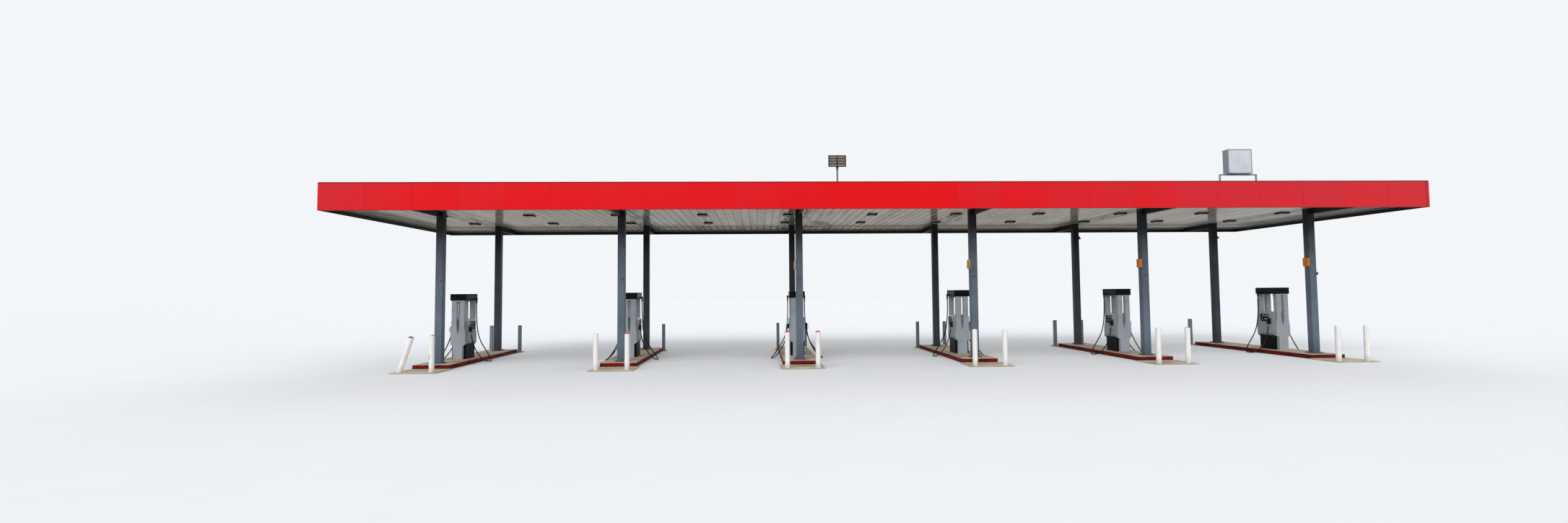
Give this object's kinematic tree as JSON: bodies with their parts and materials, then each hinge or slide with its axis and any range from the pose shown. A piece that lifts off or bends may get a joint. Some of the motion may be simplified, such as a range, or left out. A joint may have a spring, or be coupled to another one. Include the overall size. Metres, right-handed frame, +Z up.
{
  "type": "filling station canopy",
  "caption": "Long flat truck-lane canopy with a red panelled fascia on paired box columns, over raised pump islands with dispensers and bollards.",
  "frame": {"origin": "on the ground, at the centre of the canopy's outline", "axes": "+X along the canopy, +Y from the front fascia to the back, +Z up"},
  "size_m": [37.6, 9.3, 7.908],
  "materials": {
    "fascia_red": "bright red coated panels, slightly weathered",
    "cap_dark": "dark formed cap",
    "frame_steel": "grey primer, dull",
    "deck_white": "off-white coated pans with dirt and water stains",
    "galvanized": "galvanized sheet",
    "outrigger_dark": "dark paint, in shade",
    "column_grey": "blue-grey paint with scuffs",
    "concrete": "worn grey-buff concrete",
    "kerb_red": "dark red paint, chipped and dirty",
    "bollard_white": "white paint, worn to red and yellow at the top",
    "dispenser_black": "satin black",
    "dispenser_grey": "light grey satin panels",
    "display_dark": "dark glossy panel",
    "fitting_grey": "pale grey plastic, black spotlights",
    "nozzle_black": "black plastic and cast metal",
    "hose_rubber": "black rubber",
    "light_housing": "dark bronze housing",
    "sign_face": "plain pale plastic face",
    "sign_silver": "satin aluminium",
    "amber_plastic": "amber plastic, faded"
  },
  "bodies": {
    "root": {"front_fascia": "fascia_red", "back_fascia": "fascia_red", "left_fascia": "fascia_red", "right_fascia": "fascia_red", "fascia_caps": "cap_dark", "fascia_frames": "frame_steel", "deck_bay_1": "deck_white", "deck_bay_2": "deck_white", "deck_bay_3": "deck_white", "deck_bay_4": "deck_white", "deck_bay_5": "deck_white", "deck_bay_6": "deck_white", "deck_bay_7": "deck_white", "gutters": "galvanized", "cross_beams": "frame_steel", "purlins": "frame_steel", "front_outriggers": "outrigger_dark", "back_outriggers": "outrigger_dark", "front_column_1": "column_grey", "front_column_2": "column_grey", "front_column_3": "column_grey", "front_column_4": "column_grey", "front_column_5": "column_grey", "front_column_6": "column_grey", "back_column_1": "column_grey", "back_column_2": "column_grey", "back_column_3": "column_grey", "back_column_4": "column_grey", "back_column_5": "column_grey", "back_column_6": "column_grey", "pump_islands": "concrete", "island_kerbs": "kerb_red", "front_bollards": "bollard_white", "rear_posts": "column_grey", "island_pads": "concrete", "dispenser_bases": "dispenser_black", "dispenser_bodies": "dispenser_grey", "dispenser_panels": "display_dark", "dispenser_headers": "dispenser_black", "nozzles": "nozzle_black", "hose_outlets": "nozzle_black", "left_hose_1": "hose_rubber", "left_hose_2": "hose_rubber", "left_hose_3": "hose_rubber", "left_hose_4": "hose_rubber", "left_hose_5": "hose_rubber", "left_hose_6": "hose_rubber", "right_hose_1": "hose_rubber", "right_hose_2": "hose_rubber", "right_hose_3": "hose_rubber", "right_hose_4": "hose_rubber", "right_hose_5": "hose_rubber", "right_hose_6": "hose_rubber", "soffit_lights": "light_housing", "floodlight": "light_housing", "sign_cabinet": "sign_face", "sign_frame": "sign_silver", "flag_boxes": "amber_plastic", "column_fittings": "fitting_grey"}
  },
  "joints": []
}
